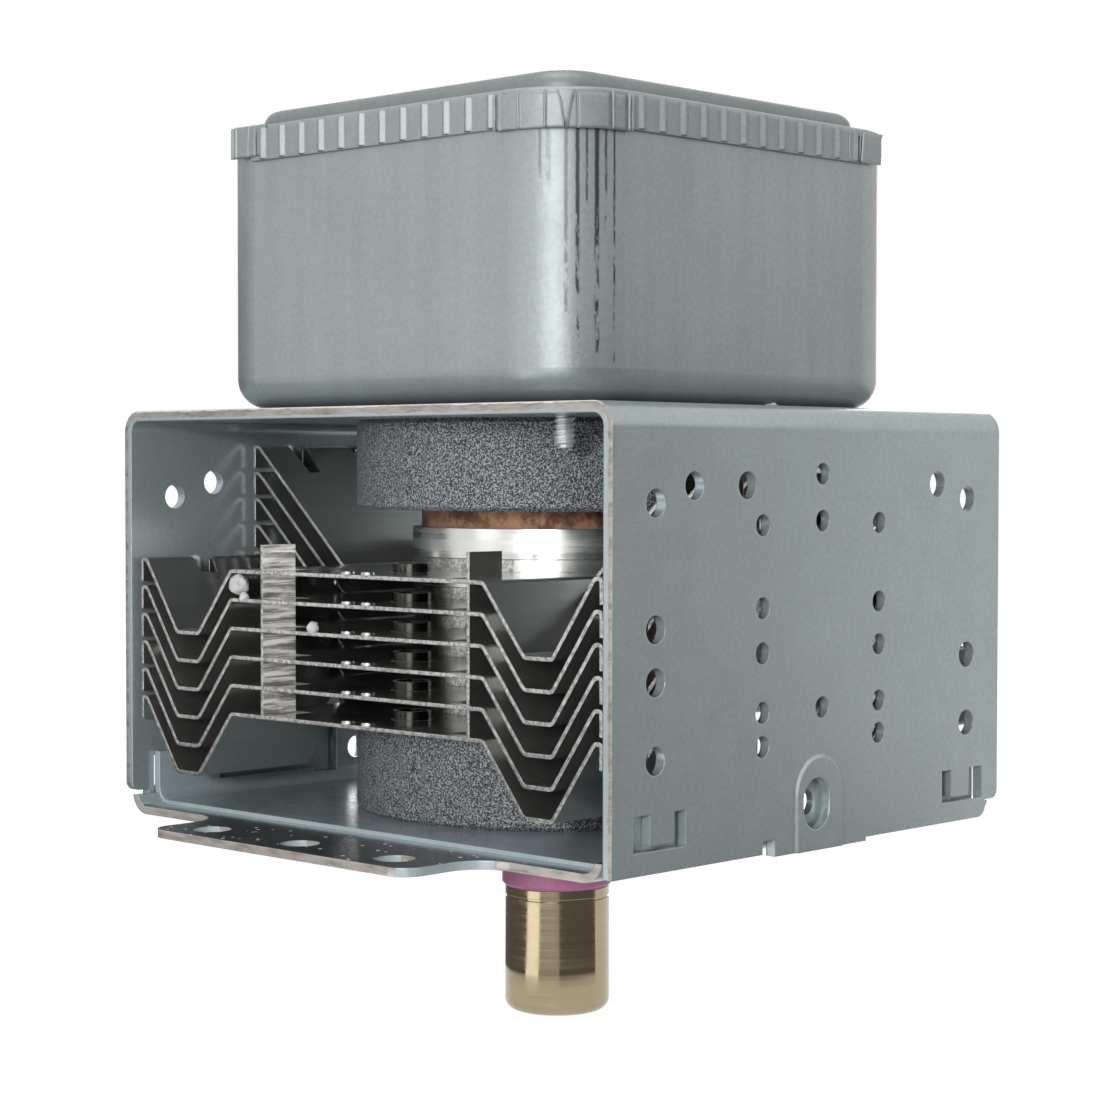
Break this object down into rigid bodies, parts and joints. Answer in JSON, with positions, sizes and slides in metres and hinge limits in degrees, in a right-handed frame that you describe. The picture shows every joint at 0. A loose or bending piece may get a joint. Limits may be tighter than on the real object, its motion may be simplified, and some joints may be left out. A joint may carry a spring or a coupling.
{
  "type": "cavity magnetron",
  "caption": "Oven magnetron: perforated steel yoke round ring magnets and folded cooling fins, drawn filter box with crimped lid on top, flanged base and capped antenna below.",
  "frame": {"origin": "on the antenna axis, in the plane of the mounting face under the flanges", "axes": "+Z along the axis away from the antenna, Y along the cooling air path through the open sides, X through the perforated walls; the capacitor is on the -X side"},
  "size_m": [0.0961, 0.1036, 0.1236],
  "materials": {
    "zinc_steel": "zinc plated, satin",
    "box_steel": "zinc plated, drawn",
    "ferrite": "matt dark grey, sintered",
    "fin_sheet": "bright rolled",
    "copper": "bare copper",
    "plated_iron": "copper plated iron",
    "bright_steel": "bright nickel",
    "tungsten": "bare refractory metal",
    "white_ceramic": "matt white",
    "pink_ceramic": "satin pink",
    "antenna_metal": "brushed, tarnished gold",
    "gasket_mesh": "woven wire",
    "foil": "bright foil",
    "fastener_steel": "zinc plated",
    "coil_wire": "enamelled copper",
    "black_plastic": "matt black",
    "tinned_brass": "tinned"
  },
  "bodies": {
    "root": {"yoke_shell": "zinc_steel", "base_plate": "zinc_steel", "filter_box": "box_steel", "filter_lid": "box_steel", "upper_magnet": "ferrite", "lower_magnet": "ferrite", "choke_cores": "ferrite", "cooling_fin_1": "fin_sheet", "cooling_fin_2": "fin_sheet", "cooling_fin_3": "fin_sheet", "cooling_fin_4": "fin_sheet", "cooling_fin_5": "fin_sheet", "cooling_fin_6": "fin_sheet", "anode_vanes": "copper", "strap_rings": "copper", "exhaust_tube": "copper", "antenna_lead": "copper", "upper_pole_piece": "plated_iron", "lower_pole_piece": "plated_iron", "anode_shell": "bright_steel", "anode_end_sleeve": "bright_steel", "stem_seal_cup": "bright_steel", "antenna_seal_cup": "bright_steel", "filament": "tungsten", "end_hats": "tungsten", "cathode_leads": "tungsten", "stem_insulator": "white_ceramic", "antenna_insulator": "pink_ceramic", "antenna_cap": "antenna_metal", "rf_gasket": "gasket_mesh", "box_shim": "foil", "box_screws": "fastener_steel", "capacitor_rivets": "fastener_steel", "capacitor_flange": "fastener_steel", "choke_coils": "coil_wire", "capacitor_body": "black_plastic", "capacitor_terminals": "tinned_brass"}
  },
  "joints": []
}
